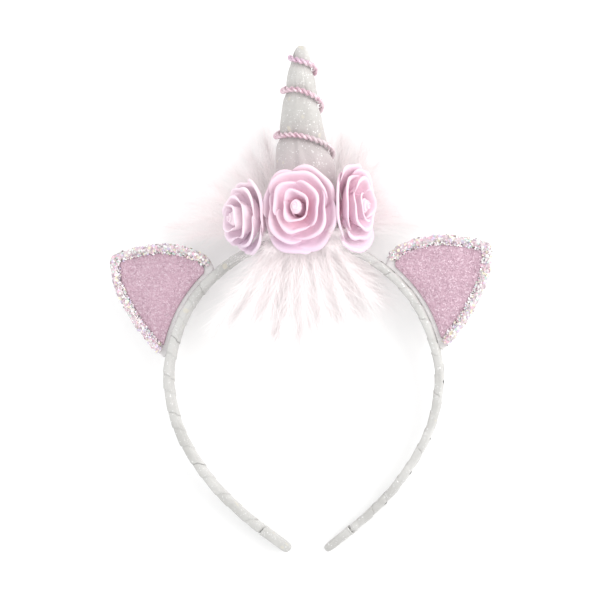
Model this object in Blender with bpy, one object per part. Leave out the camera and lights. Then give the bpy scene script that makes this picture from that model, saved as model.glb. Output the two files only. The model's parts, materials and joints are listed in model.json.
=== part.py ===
"""Unicorn horn headband: a cloth-wrapped hoop with two cat ears, a stuffed horn wound with a
twisted cord, three cloth roses and a ring of down round the horn's foot.

Everything is modelled in the headband's own frame, in metres: X to the right as seen from the
front, Y to the back, Z up along the horn, and the origin at the crown of the hoop's centreline.
One empty then lays the headband on its back, front up, touching the floor with the down behind
the horn and with the two ends of the hoop.
"""

import math
from collections import namedtuple

import bmesh
import bpy
from mathutils import Matrix, Vector

GAP = 0.0003  # between pieces that touch

# Hoop
HOOP_THICKNESS = 0.0030
HOOP_DEPTH = 0.0120  # front to back at the crown
HOOP_TIP_DEPTH = 0.0086
HOOP_NARROWING = 1.5  # power of the way down, so that most of the narrowing is near the tips
HOOP_EDGE_ROUND = 0.0011
HOOP_STATIONS = 57
CORE_THICKNESS = 0.0015  # the stiff core, bare of cloth inside the end sleeves
CORE_EDGE_ROUND = 0.00045
SLEEVE_LENGTH = 0.0125
SLEEVE_PROUD = 0.0002  # how far a sleeve stands over the wrapped hoop
SLEEVE_END_REACH = 0.00135  # the rounded end, beyond the end of the centreline
SLEEVE_END_THICKNESS = 0.0022
SLEEVE_END_DEPTH = 0.0062
HoopPoint = namedtuple("HoopPoint", "half_width drop")
HOOP_LINE = (  # right half of the centreline, crown to tip
    HoopPoint(0.0000, 0.0000),
    HoopPoint(0.0210, 0.0037),
    HoopPoint(0.0406, 0.0160),
    HoopPoint(0.0547, 0.0333),
    HoopPoint(0.0624, 0.0560),
    HoopPoint(0.0618, 0.0745),
    HoopPoint(0.0560, 0.0925),
    HoopPoint(0.0431, 0.1122),
    HoopPoint(0.0285, 0.1270),
    HoopPoint(0.0149, 0.1378),
    HoopPoint(0.0096, 0.1418),
)

# Ears
EAR_THICKNESS = 0.0030
EAR_EDGE_ROUND = 0.0007
EAR_STEPS = 30
PANEL_THICKNESS = 0.0009
PANEL_EDGE_ROUND = 0.0003
PANEL_FROM_EDGE = 0.0040
PANEL_FROM_HOOP = 0.0026
PANEL_CORNER = 0.0010  # where the panel's two edges stop short of each other
TRIM_WIDTH = 0.0034
TRIM_HEIGHT = 0.0022
TRIM_FROM_EDGE = 0.0017
TRIM_STEPS = 34
TRIM_BUMP = 0.12  # share of its width that the sequins swell and shrink it by
TRIM_BUMP_TURN = 2.4  # radians from one ring of the trim to the next
EarPoint = namedtuple("EarPoint", "out drop")
EAR_LINE = (  # free edge, from the hoop over the tip and back to the hoop
    EarPoint(0.0398, 0.0128),
    EarPoint(0.0420, 0.0078),
    EarPoint(0.0465, 0.0042),
    EarPoint(0.0550, 0.0012),
    EarPoint(0.0652, 0.0000),
    EarPoint(0.0768, 0.0013),
    EarPoint(0.0868, 0.0042),
    EarPoint(0.0886, 0.0068),
    EarPoint(0.0884, 0.0128),
    EarPoint(0.0868, 0.0206),
    EarPoint(0.0832, 0.0280),
    EarPoint(0.0792, 0.0354),
    EarPoint(0.0742, 0.0424),
    EarPoint(0.0684, 0.0495),
    EarPoint(0.0650, 0.0526),
)

# Horn
HORN_FOOT = HOOP_THICKNESS / 2 + GAP
HORN_FLATNESS = 0.82  # depth over width, as the stuffed cloth lies
HORN_SIDES = 20
HORN_RINGS = 30
HORN_RING_SPREAD = 0.93  # under 1 puts the rings a little closer together towards the tip
CINCH_DEPTH = 0.0010  # how far the cord draws the cloth in
CINCH_REACH = 0.0030
HornRing = namedtuple("HornRing", "height radius middle")
HORN_PROFILE = (  # middle is the sideways place of the horn's axis
    HornRing(0.0018, 0.0178, 0.0026),
    HornRing(0.0150, 0.0162, 0.0032),
    HornRing(0.0276, 0.0147, 0.0038),
    HornRing(0.0360, 0.0134, 0.0037),
    HornRing(0.0430, 0.0119, 0.0026),
    HornRing(0.0475, 0.0108, 0.0025),
    HornRing(0.0550, 0.0097, 0.0026),
    HornRing(0.0650, 0.0081, 0.0027),
    HornRing(0.0700, 0.0070, 0.0028),
    HornRing(0.0790, 0.0055, 0.0032),
    HornRing(0.0850, 0.0038, 0.0035),
    HornRing(0.0878, 0.0025, 0.0037),
    HornRing(0.0892, 0.0012, 0.0038),
)

# Cord wound down the horn, turning to the right across the front
CORD_DIAMETER = 0.0028
CORD_SIDES = 6
CORD_RISE = 0.2  # the horn's skin faces a little upwards
CORD_CLEARANCE = 1.12  # keeps the cord's flat facets off the horn's
CordPoint = namedtuple("CordPoint", "turn height")
CORD_LINE = (  # turn 0 is at the horn's left, 0.25 at its front, 0.5 at its right
    CordPoint(0.00, 0.0838),
    CordPoint(0.25, 0.0815),
    CordPoint(0.50, 0.0780),
    CordPoint(1.00, 0.0685),
    CordPoint(1.25, 0.0680),
    CordPoint(1.50, 0.0618),
    CordPoint(2.00, 0.0480),
    CordPoint(2.25, 0.0470),
    CordPoint(2.50, 0.0405),
    CordPoint(3.00, 0.0240),
    CordPoint(3.25, 0.0215),
)

# Roses
PETAL_THICKNESS = 0.0010
PETAL_ACROSS = 4
PETAL_ALONG = 3
PETAL_OVERLAP = 0.05  # one side of a petal lies over its neighbour
PETAL_ROOT_SPAN = 0.62  # share of a petal's span that its root has
PETAL_DROOP = 0.0009  # how far a petal's sides hang back from its middle
BUD_SIDES = 8
ROSE_SEAT_DROP = 0.004  # a rose touches the horn this far under its middle
Rose = namedtuple("Rose", "name around height half_width half_height depth turn lean rise")
ROSES = (  # around is the angle on the horn, 270 at its front; lean and rise tip the bud
    Rose("rose_left", 217, 0.0100, 0.0134, 0.0154, 0.0216, 20, 0.06, 0.00),
    Rose("rose_centre", 278, 0.0112, 0.0146, 0.0176, 0.0172, 50, -0.26, 0.18),
    Rose("rose_right", 336, 0.0134, 0.0132, 0.0178, 0.0170, 0, 0.00, 0.05),
)
WayOut = namedtuple("WayOut", "reach depth")
PetalRow = namedtuple("PetalRow", "count span turn roundness way")
PETAL_ROWS = (  # way runs from root to rim, in shares of the rose's half width and depth
    PetalRow(4, 112, 0, 0.26, (WayOut(0.20, 0.25), WayOut(0.50, 0.31), WayOut(0.82, 0.44), WayOut(1.08, 0.62))),
    PetalRow(3, 130, 38, 0.24, (WayOut(0.17, 0.34), WayOut(0.44, 0.42), WayOut(0.70, 0.58), WayOut(0.87, 0.80))),
    PetalRow(2, 200, 70, 0.20, (WayOut(0.15, 0.40), WayOut(0.34, 0.50), WayOut(0.50, 0.70), WayOut(0.60, 0.95))),
)
BudRing = namedtuple("BudRing", "height radius")
BUD_PROFILE = (  # shares of the rose's depth, metres
    BudRing(0.00, 0.0038),
    BudRing(0.30, 0.0040),
    BudRing(0.60, 0.0052),
    BudRing(0.88, 0.0054),
    BudRing(1.00, 0.0030),
)

# Down: a ring round the horn's foot that carries the locks
RING_TUBE = 0.0018
RING_HEIGHT = HORN_FOOT + RING_TUBE
RING_DIP = 0.0022  # how far the ring hangs in front of and behind the hoop
RING_SIDES = 6
RING_STATIONS = 24
LOCK_SIDES = 5
LOCK_ROOT_LIMIT = 16  # degrees from the sides, so that the locks clear the roses
LOCK_BEHIND_HORN = 38  # degrees either side of the horn where locks keep off its cord
LOCK_BEHIND_LEAN = 7
LOCK_FRONT_FAN = 50  # degrees either side of straight down that hang in front of the hoop
LOCK_THICKNESS = 0.42  # share of a lock's width
LOCK_WIDTH = 0.0074
LOCK_STEP = 0.00004  # each lock lies this much higher than the last one on the floor
Lock = namedtuple("Lock", "direction reach")
LOCKS = (  # direction as seen from the front, 0 to the right and 90 up the horn
    Lock(3, 0.064),
    Lock(14, 0.054),
    Lock(27, 0.052),
    Lock(42, 0.060),
    Lock(55, 0.056),
    Lock(68, 0.053),
    Lock(82, 0.046),
    Lock(98, 0.047),
    Lock(112, 0.054),
    Lock(124, 0.051),
    Lock(137, 0.049),
    Lock(150, 0.057),
    Lock(164, 0.064),
    Lock(176, 0.073),
    Lock(228, 0.056),
    Lock(240, 0.049),
    Lock(252, 0.056),
    Lock(265, 0.055),
    Lock(277, 0.044),
    Lock(289, 0.047),
    Lock(302, 0.049),
    Lock(318, 0.051),
)
LockLayer = namedtuple("LockLayer", "side lean share turn")
LOCK_LAYERS = (  # side 1 is behind the hoop, -1 in front of it
    LockLayer(1, 10, 1.00, 0),
    LockLayer(1, 1, 0.80, 6),
    LockLayer(-1, 8, 1.00, 0),
)
LOCK_ARCH = 0.12  # share of its reach that a lock arches by
LOCK_ARCH_OUT = 0.3
LOCK_ARCH_DOWN = 0.5
LOCK_ARCH_UP = 0.6
LockRing = namedtuple("LockRing", "along width")
LOCK_PROFILE = (  # shares of a lock's reach and width
    LockRing(0.00, 0.35),
    LockRing(0.30, 0.90),
    LockRing(0.68, 0.72),
    LockRing(1.00, 0.00),
)

FINE_STEPS = 12

Finish = namedtuple("Finish", "colour roughness metallic")
WHITE_CLOTH = Finish((0.83, 0.82, 0.81), 0.65, 0.0)
PINK_GLITTER = Finish((0.72, 0.46, 0.58), 0.45, 0.2)
SEQUINS = Finish((0.86, 0.80, 0.84), 0.25, 0.5)
PINK_CORD = Finish((0.78, 0.42, 0.60), 0.40, 0.3)
PINK_SATIN = Finish((0.88, 0.63, 0.76), 0.50, 0.0)
BLUSH_DOWN = Finish((0.92, 0.86, 0.85), 0.80, 0.0)


def smooth(points, count):
    """count points evenly spaced on a smooth curve through points."""
    line = [2 * points[0] - points[1], *points, 2 * points[-1] - points[-2]]
    fine = []
    for a, b, c, d in zip(line, line[1:], line[2:], line[3:]):
        for step in range(FINE_STEPS):
            t = step / FINE_STEPS
            bend = (2 * a - 5 * b + 4 * c - d) * t**2 + (3 * b - a - 3 * c + d) * t**3
            fine.append(0.5 * (2 * b + (c - a) * t + bend))
    fine.append(points[-1])
    run = [0.0]
    for p, q in zip(fine, fine[1:]):
        run.append(run[-1] + (q - p).length)
    spaced = []
    k = 0
    for i in range(count):
        goal = run[-1] * i / (count - 1)
        while k < len(run) - 2 and run[k + 1] < goal:
            k += 1
        spaced.append(fine[k].lerp(fine[k + 1], (goal - run[k]) / (run[k + 1] - run[k])))
    return spaced


def read_table(rows, x):
    """The other columns of rows at x of the first, straight between rows."""
    for low, high in zip(rows, rows[1:]):
        if x <= high[0]:
            break
    share = min(max((x - low[0]) / (high[0] - low[0]), 0.0), 1.0)
    return [a + (b - a) * share for a, b in zip(low[1:], high[1:])]


def make_object(name, bm, finish, sharp_angle=40):
    """A named object from bm, with its own material, smooth up to sharp_angle degrees."""
    mesh = bpy.data.meshes.new(name)
    bm.to_mesh(mesh)
    bm.free()
    mesh.shade_smooth()
    mesh.set_sharp_from_angle(angle=math.radians(sharp_angle))
    obj = bpy.data.objects.new(name, mesh)
    bpy.context.scene.collection.objects.link(obj)
    material = bpy.data.materials.new(name)
    material.use_nodes = True
    shader = material.node_tree.nodes["Principled BSDF"]
    shader.inputs["Base Color"].default_value = (*finish.colour, 1.0)
    shader.inputs["Roughness"].default_value = finish.roughness
    shader.inputs["Metallic"].default_value = finish.metallic
    mesh.materials.append(material)
    return obj


def loft(name, rings, finish, wrap=False):
    """A closed body through rings; a ring of one point is a pole, and wrap joins last to first."""
    bm = bmesh.new()
    rows = [[bm.verts.new(p) for p in ring] for ring in rings]
    pairs = list(zip(rows, rows[1:]))
    if wrap:
        pairs.append((rows[-1], rows[0]))
    for low, high in pairs:
        count = max(len(low), len(high))
        for i in range(count):
            j = (i + 1) % count
            corners = [low[i % len(low)], low[j % len(low)], high[j % len(high)], high[i % len(high)]]
            bm.faces.new(list(dict.fromkeys(corners)))
    if not wrap:
        for ring in (rows[0], rows[-1]):
            if len(ring) > 2:
                bm.faces.new(ring)
    bmesh.ops.recalc_face_normals(bm, faces=bm.faces)
    return make_object(name, bm, finish)


def sheet(name, grid, thickness, finish):
    """A wall of the given thickness on a grid of points, by Solidify."""
    bm = bmesh.new()
    rows = [[bm.verts.new(p) for p in row] for row in grid]
    for low, high in zip(rows, rows[1:]):
        for i in range(len(low) - 1):
            bm.faces.new((low[i], low[i + 1], high[i + 1], high[i]))
    obj = make_object(name, bm, finish)
    wall = obj.modifiers.new("wall", "SOLIDIFY")
    wall.thickness = thickness
    wall.offset = 0.0
    return obj


def fuse(base, others):
    """Unite others with base in one closed body, and remove them."""
    group = bpy.data.collections.new(base.name + "_parts")
    bpy.context.scene.collection.children.link(group)
    for obj in others:
        group.objects.link(obj)
    union = base.modifiers.new("union", "BOOLEAN")
    union.operation = "UNION"
    union.solver = "EXACT"
    union.operand_type = "COLLECTION"
    union.collection = group
    depsgraph = bpy.context.evaluated_depsgraph_get()
    mesh = bpy.data.meshes.new_from_object(base.evaluated_get(depsgraph))
    base.modifiers.clear()
    bm = bmesh.new()
    bm.from_mesh(mesh)
    bmesh.ops.triangulate(bm, faces=bm.faces)
    bmesh.ops.remove_doubles(bm, verts=bm.verts, dist=1e-6)
    bmesh.ops.dissolve_degenerate(bm, edges=bm.edges, dist=1e-6)
    bm.to_mesh(mesh)
    bm.free()
    base.data = mesh
    mesh.materials.clear()
    mesh.materials.append(bpy.data.materials[base.name])
    for obj in others:
        bpy.data.objects.remove(obj)
    bpy.data.collections.remove(group)


def hoop_stations():
    """Place and outward direction of each station of the hoop, left tip to right tip."""
    right = [Vector((p.half_width, 0.0, -p.drop)) for p in HOOP_LINE]
    left = [Vector((-p.x, 0.0, p.z)) for p in reversed(right[1:])]
    line = smooth(left + right, HOOP_STATIONS)
    stations = []
    for i, point in enumerate(line):
        before = line[max(i - 1, 0)]
        after = line[min(i + 1, len(line) - 1)]
        along = (after - before).normalized()
        stations.append((point, Vector((-along.z, 0.0, along.x))))
    return stations


def hoop_depth(point):
    """Front-to-back size of the hoop at point: it narrows down the arms."""
    down = min(max(-point.z / HOOP_LINE[-1].drop, 0.0), 1.0)
    return HOOP_DEPTH + (HOOP_TIP_DEPTH - HOOP_DEPTH) * down**HOOP_NARROWING


def hoop_ring(station, thickness, depth, edge_round=HOOP_EDGE_ROUND):
    """Section of the hoop at station: a rectangle with round corners."""
    point, outward = station
    half_thick = thickness / 2 - edge_round
    half_deep = depth / 2 - edge_round
    ring = []
    for corner in range(4):
        side = 1 if corner in (0, 3) else -1
        end = 1 if corner in (0, 1) else -1
        for step in range(3):
            angle = math.radians(90 * corner + 45 * step)
            across = side * half_thick + edge_round * math.cos(angle)
            back = end * half_deep + edge_round * math.sin(angle)
            ring.append(point + across * outward + back * Vector((0.0, 1.0, 0.0)))
    return ring


def make_hoop(stations):
    """The wrapped hoop, with its bare core inside the sleeves at both ends."""
    step = (stations[1][0] - stations[0][0]).length
    covered = round(SLEEVE_LENGTH / step)
    core_cut = HOOP_THICKNESS - CORE_THICKNESS
    rings = []
    for i, station in enumerate(stations):
        from_end = min(i, len(stations) - 1 - i)
        depth = hoop_depth(station[0])
        core = hoop_ring(station, CORE_THICKNESS, depth - core_cut, CORE_EDGE_ROUND)
        wrapped = hoop_ring(station, HOOP_THICKNESS, depth)
        if from_end == 0:
            continue
        if from_end < covered:
            rings.append(core)
        elif from_end == covered:
            rings += [core, wrapped] if i == from_end else [wrapped, core]
        else:
            rings.append(wrapped)
    return loft("headband", rings, WHITE_CLOTH)


def make_sleeve(name, stations):
    """A cloth sleeve drawn over one end of the hoop; stations run from its mouth to the tip."""
    core_cut = HOOP_THICKNESS - CORE_THICKNESS - 2 * GAP
    point, outward = stations[0]
    along = (stations[1][0] - point).normalized()
    mouth = (point + GAP * along, outward)
    rings = []
    inner = [mouth, *stations[1:-1]]
    tip_point, tip_outward = stations[-2]
    inner[-1] = (tip_point + 2 * GAP * (stations[-1][0] - tip_point).normalized(), tip_outward)
    for station in reversed(inner):
        depth = hoop_depth(station[0])
        rings.append(
            hoop_ring(station, CORE_THICKNESS + 2 * GAP, depth - core_cut, CORE_EDGE_ROUND)
        )
    for station in [mouth, *stations[1:]]:
        depth = hoop_depth(station[0])
        rings.append(
            hoop_ring(station, HOOP_THICKNESS + 2 * SLEEVE_PROUD, depth + 2 * SLEEVE_PROUD)
        )
    end = stations[-1]
    forward = (end[0] - stations[-2][0]).normalized()
    rounded = (end[0] + forward * SLEEVE_END_REACH, end[1])
    rings.append(hoop_ring(rounded, SLEEVE_END_THICKNESS, SLEEVE_END_DEPTH, SLEEVE_END_THICKNESS / 3))
    return loft(name, rings, WHITE_CLOTH)


def inset(points, distance):
    """points of an open line, moved by distance to the right of its direction in the XZ plane."""
    moved = []
    for i, point in enumerate(points):
        along = points[min(i + 1, len(points) - 1)] - points[max(i - 1, 0)]
        along.normalize()
        moved.append(point + distance * Vector((along.z, 0.0, -along.x)))
    return moved


def hoop_side(stations, offset):
    """The right arm's outer face, offset outward, between the two ends of an ear."""
    top = EAR_LINE[0].drop
    foot = EAR_LINE[-1].drop
    line = [p + (HOOP_THICKNESS / 2 + offset) * n for p, n in stations if p.x > 0]
    return [p for p in line if top + 0.001 < -p.z < foot - 0.001]


def plate(name, outline, front, back, edge_round, finish):
    """A flat plate with soft edges on a closed outline in the XZ plane."""
    closed = [*outline, outline[0]]
    area = sum(a.x * b.z - b.x * a.z for a, b in zip(closed, closed[1:]))
    inward = []
    for i, point in enumerate(outline):
        along = outline[(i + 1) % len(outline)] - outline[i - 1]
        along.normalize()
        inward.append(Vector((-along.z, 0.0, along.x)) * (1 if area > 0 else -1))
    rings = []
    for depth, pull in ((front, 1), (front + edge_round, 0), (back - edge_round, 0), (back, 1)):
        ring = []
        for point, normal in zip(outline, inward):
            ring.append(point + pull * edge_round * normal + Vector((0.0, depth, 0.0)))
        rings.append(ring)
    return loft(name, rings, finish)


def make_ear(suffix, side, stations):
    """An ear: cloth back, glitter panel and sequin trim; side is 1 on the right, -1 on the left."""

    def mirrored(points):
        return [Vector((side * p.x, p.y, p.z)) for p in points]

    edge = smooth([Vector((p.out, 0.0, -p.drop)) for p in EAR_LINE], EAR_STEPS)
    seat = list(reversed(hoop_side(stations, GAP)))
    face = -EAR_THICKNESS / 2
    pieces = [
        plate(
            "ear_back_" + suffix,
            mirrored(edge + seat),
            face,
            EAR_THICKNESS / 2,
            EAR_EDGE_ROUND,
            WHITE_CLOTH,
        )
    ]
    border = list(reversed(hoop_side(stations, PANEL_FROM_HOOP)))
    border = [p for p in border if clear_of(p, edge, PANEL_FROM_EDGE)]
    free = inset(edge, PANEL_FROM_EDGE)
    free = [p for p in free if hoop_distance(p, stations) > PANEL_FROM_HOOP + PANEL_CORNER]
    pieces.append(
        plate(
            "ear_panel_" + suffix,
            mirrored(free + border),
            face - GAP - PANEL_THICKNESS,
            face - GAP,
            PANEL_EDGE_ROUND,
            PINK_GLITTER,
        )
    )
    line = smooth(inset(edge, TRIM_FROM_EDGE)[1:-1], TRIM_STEPS)
    middle = face - GAP - TRIM_HEIGHT / 2
    rings = []
    for i, point in enumerate(line):
        along = (line[min(i + 1, TRIM_STEPS - 1)] - line[max(i - 1, 0)]).normalized()
        across = Vector((along.z, 0.0, -along.x))
        swell = 1 + TRIM_BUMP * math.sin(TRIM_BUMP_TURN * i)
        ring = []
        for k in range(6):
            angle = math.radians(60 * k)
            sideways = swell * TRIM_WIDTH / 2 * math.cos(angle) * across
            proud = swell if math.sin(angle) < 0 else 1.0
            depth = middle + proud * TRIM_HEIGHT / 2 * math.sin(angle) / math.sin(math.pi / 3)
            ring.append(point + sideways + Vector((0.0, depth, 0.0)))
        rings.append(ring)
    pieces.append(loft("ear_trim_" + suffix, [mirrored(r) for r in rings], SEQUINS))
    return pieces


def hoop_distance(point, stations):
    """How far a point lies outside the hoop's outer face, below nought when inside it."""
    place, outward = min(stations, key=lambda station: (point - station[0]).length)
    return (point - place).dot(outward) - HOOP_THICKNESS / 2


def clear_of(point, line, distance):
    """Whether point is at least distance from every point of line."""
    return min((point - q).length for q in line) >= distance


def horn_surface(around, height, cinch=0.0):
    """Point of the horn's skin at an angle in degrees and a height, drawn in by cinch."""
    radius, middle = read_table(HORN_PROFILE, height)
    radius -= cinch
    angle = math.radians(around)
    across = middle + radius * math.cos(angle)
    return Vector((across, HORN_FLATNESS * radius * math.sin(angle), height))


def cord_height(turn):
    """Height of the cord's middle after so many turns."""
    rows = CORD_LINE
    for before, a, b, after in zip((rows[0], *rows), rows, rows[1:], (*rows[2:], rows[-1])):
        if turn <= b.turn:
            t = (turn - a.turn) / (b.turn - a.turn)
            start = (b.height - before.height) / max(b.turn - before.turn, 0.25)
            finish = (after.height - a.height) / max(after.turn - a.turn, 0.25)
            span = b.turn - a.turn
            rise = (3 * t**2 - 2 * t**3) * (b.height - a.height)
            return a.height + rise + span * ((t - 2 * t**2 + t**3) * start + (t**3 - t**2) * finish)
    return rows[-1].height


def make_horn():
    """The stuffed cloth horn, drawn in along the cord."""
    foot = HORN_PROFILE[0].height
    top = HORN_PROFILE[-1].height
    rings = []
    for i in range(HORN_RINGS):
        height = foot + (top - foot) * (i / (HORN_RINGS - 1)) ** HORN_RING_SPREAD
        ring = []
        for k in range(HORN_SIDES):
            start = (k / HORN_SIDES + 0.5) % 1.0
            cinch = 0.0
            for turn in range(int(CORD_LINE[-1].turn) + 1):
                if start + turn <= CORD_LINE[-1].turn:
                    away = (height - cord_height(start + turn)) / CINCH_REACH
                    cinch += CINCH_DEPTH * math.exp(-away * away)
            ring.append(horn_surface(360 * k / HORN_SIDES, height, cinch))
        rings.append(ring)
    return loft("horn", rings, WHITE_CLOTH)


def make_cord():
    """The cord round the horn: a tube that lies on the horn's skin."""
    count = round(CORD_LINE[-1].turn * HORN_SIDES) + 1
    radius = CORD_DIAMETER / 2
    line = []
    for i in range(count):
        turn = i / HORN_SIDES
        around = 180 + 360 * turn
        height = cord_height(turn)
        skin = horn_surface(around, height, CINCH_DEPTH)
        outward = Vector((math.cos(math.radians(around)), math.sin(math.radians(around)), CORD_RISE))
        outward.normalize()
        line.append((skin + (radius + GAP) * CORD_CLEARANCE * outward, outward))
    rings = []
    for i, (point, outward) in enumerate(line):
        along = (line[min(i + 1, count - 1)][0] - line[max(i - 1, 0)][0]).normalized()
        across = along.cross(outward).normalized()
        outward = across.cross(along)
        ring = []
        for k in range(CORD_SIDES):
            angle = 2 * math.pi * k / CORD_SIDES
            ring.append(point + radius * (math.cos(angle) * outward + math.sin(angle) * across))
        rings.append(ring)
    return loft("horn_cord", rings, PINK_CORD)


def petal_grid(rose, row, number):
    """Points of one petal, in the rose's frame: X and Y across its face, Z out of it."""
    middle = math.radians(rose.turn + row.turn + 360 * number / row.count)
    half_span = math.radians(row.span) / 2
    way = [(i / (len(row.way) - 1), *point) for i, point in enumerate(row.way)]
    grid = []
    for i in range(PETAL_ACROSS + 1):
        across = 2 * i / PETAL_ACROSS - 1
        line = []
        for j in range(PETAL_ALONG + 1):
            along = j / PETAL_ALONG * (1 - row.roundness * across**4)
            reach, depth = read_table(way, along)
            angle = middle + across * half_span * (PETAL_ROOT_SPAN + (1 - PETAL_ROOT_SPAN) * along)
            reach *= 1 + PETAL_OVERLAP * across
            depth = depth * rose.depth - PETAL_DROOP * across**2 * along
            line.append(rose_point(rose, reach * rose.half_width, reach * rose.half_height, angle, depth))
        grid.append(line)
    return grid


def rose_point(rose, half_width, half_height, angle, depth):
    """Point on an oval round the rose's tipped axis."""
    x = half_width * math.cos(angle) + rose.lean * depth
    y = half_height * math.sin(angle) + rose.rise * depth
    return Vector((x, y, depth))


def make_rose(rose):
    """A cloth rose: rows of cupped petals fused to a rolled bud that sits on the horn."""
    rings = []
    for level in BUD_PROFILE:
        ring = []
        for k in range(BUD_SIDES):
            angle = 2 * math.pi * (k + 0.3) / BUD_SIDES
            depth = level.height * rose.depth
            ring.append(rose_point(rose, level.radius, level.radius, angle, depth))
        rings.append(ring)
    bud = loft(rose.name, rings, PINK_SATIN)
    petals = []
    for row in PETAL_ROWS:
        for number in range(row.count):
            grid = petal_grid(rose, row, number)
            petals.append(sheet("petal", grid, PETAL_THICKNESS, PINK_SATIN))
    fuse(bud, petals)
    angle = math.radians(rose.around)
    outward = Vector((math.cos(angle), math.sin(angle), 0.0))
    sideways = Vector((0.0, 0.0, 1.0)).cross(outward)
    turn = Matrix((sideways, (0.0, 0.0, 1.0), outward)).transposed()
    seat = horn_surface(rose.around, rose.height - ROSE_SEAT_DROP) + 2 * GAP * outward
    seat.z = rose.height
    bud.data.transform(Matrix.Translation(seat) @ turn.to_4x4())
    return bud


def ring_point(around):
    """Middle of the down's ring at an angle in degrees."""
    angle = math.radians(around)
    radius = HORN_PROFILE[0].radius + GAP + RING_TUBE
    depth = HORN_FLATNESS * HORN_PROFILE[0].radius + GAP + RING_TUBE
    height = RING_HEIGHT - RING_DIP * math.sin(angle) ** 2
    across = HORN_PROFILE[0].middle + radius * math.cos(angle)
    return Vector((across, depth * math.sin(angle), height))


def rest_slope():
    """Slope of the floor against the headband's back, from the hoop's ends to the down's ring."""
    back = ring_point(90)
    rise = back.y + RING_TUBE - HOOP_TIP_DEPTH / 2 - SLEEVE_PROUD
    return rise / (back.z + HOOP_LINE[-1].drop)


def floor_depth(height):
    """Y of the floor at a height along the horn, as the headband lies on its back."""
    back = ring_point(90)
    return back.y + RING_TUBE + (height - back.z) * rest_slope()


def lock_rings(lock, layer, number):
    """Rings of one lock of down, from inside the carrying ring to its tip."""
    direction = math.radians(lock.direction + layer.turn)
    hangs = lock.direction > 180
    reach = lock.reach * layer.share
    behind_horn = abs(lock.direction + layer.turn - 90) < LOCK_BEHIND_HORN
    lean = math.radians(max(layer.lean, LOCK_BEHIND_LEAN) if behind_horn else layer.lean)
    plan = math.degrees(math.atan2(abs(math.sin(direction)), math.cos(direction)))
    plan = min(max(plan, LOCK_ROOT_LIMIT), 180 - LOCK_ROOT_LIMIT)
    root = ring_point(layer.side * plan)
    ahead = Vector(
        (
            math.cos(direction) * math.cos(lean),
            layer.side * math.sin(lean),
            math.sin(direction) * math.cos(lean),
        )
    )
    start = Vector((0.0, 0.0, RING_HEIGHT))
    tip = start + ahead * reach
    tip.y = root.y + layer.side * reach * math.sin(lean)
    if hangs:
        arch = Vector((-ahead.x, layer.side * LOCK_ARCH_OUT, -LOCK_ARCH_DOWN))
    else:
        arch = Vector((0.0, LOCK_ARCH_OUT, LOCK_ARCH_UP))
    middle = root.lerp(tip, 0.5) + LOCK_ARCH * reach * arch
    width_way = ahead.cross(Vector((0.0, 1.0, 0.0))).normalized()
    thick_way = ahead.cross(width_way).normalized()
    rings = []
    for level in LOCK_PROFILE:
        t = level.along
        point = (1 - t) ** 2 * root + 2 * t * (1 - t) * middle + t**2 * tip
        half = LOCK_WIDTH * level.width / 2
        lowest = floor_depth(point.z) - half * LOCK_THICKNESS - number * LOCK_STEP
        point.y = min(point.y, lowest)
        if level.width == 0:
            rings.append([point])
            continue
        ring = []
        for k in range(LOCK_SIDES):
            angle = 2 * math.pi * (k + 0.25) / LOCK_SIDES
            across = half * math.cos(angle) * width_way
            through = half * LOCK_THICKNESS * math.sin(angle) * thick_way
            ring.append(point + across + through)
        rings.append(ring)
    return rings


def make_down():
    """The ring of down: locks fused to the tube that carries them."""
    rings = []
    for i in range(RING_STATIONS):
        around = 360 * i / RING_STATIONS
        angle = math.radians(around)
        outward = Vector((math.cos(angle), math.sin(angle), 0.0))
        ring = []
        for k in range(RING_SIDES):
            turn = 2 * math.pi * k / RING_SIDES
            flat = math.cos(turn) * outward
            ring.append(ring_point(around) + RING_TUBE * (flat + Vector((0.0, 0.0, math.sin(turn)))))
        rings.append(ring)
    tube = loft("fur", rings, BLUSH_DOWN, wrap=True)
    locks = []
    for layer in LOCK_LAYERS:
        for lock in LOCKS:
            if layer.side < 0 and abs(lock.direction - 270) > LOCK_FRONT_FAN:
                continue
            rings = lock_rings(lock, layer, len(locks))
            locks.append(loft("lock", rings, BLUSH_DOWN))
    fuse(tube, locks)
    return tube


def lay_down(pieces):
    """Lay the headband on its back, its lowest point on the floor and its footprint centred."""
    rest = bpy.data.objects.new("resting_pose", None)
    bpy.context.scene.collection.objects.link(rest)
    rest.rotation_euler.x = math.atan(rest_slope()) - math.radians(90)
    for obj in pieces:
        obj.parent = rest
    bpy.context.view_layer.update()
    corners = [obj.matrix_world @ v.co for obj in pieces for v in obj.data.vertices]
    low = Vector([min(p[k] for p in corners) for k in range(3)])
    high = Vector([max(p[k] for p in corners) for k in range(3)])
    rest.location = (-(low.x + high.x) / 2, -(low.y + high.y) / 2, -low.z)
    bpy.context.view_layer.update()


def build():
    """Make every piece of the headband and lay it down."""
    for obj in list(bpy.context.scene.objects):
        bpy.data.objects.remove(obj)
    stations = hoop_stations()
    step = (stations[1][0] - stations[0][0]).length
    covered = round(SLEEVE_LENGTH / step)
    pieces = [make_hoop(stations)]
    pieces.append(make_sleeve("band_tip_left", list(reversed(stations[: covered + 1]))))
    pieces.append(make_sleeve("band_tip_right", stations[-covered - 1 :]))
    pieces += make_ear("left", -1, stations)
    pieces += make_ear("right", 1, stations)
    pieces += [make_horn(), make_cord()]
    pieces += [make_rose(rose) for rose in ROSES]
    pieces.append(make_down())
    lay_down(pieces)


build()
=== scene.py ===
"""The unicorn horn headband as it looks: wound white cloth, glitter ears edged with sequins, a
stuffed horn with its twisted cord, three satin roses and a ring of down.

Every piece is shaped in the headband's own frame, in metres: X to the right as seen from the
front, Y to the back and Z up along the horn, from the crown of the hoop. lay() puts it on its back.
"""

import json
import math
import random
from collections import namedtuple

import bpy
import numpy as np
from mathutils import Matrix, Vector, noise


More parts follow.
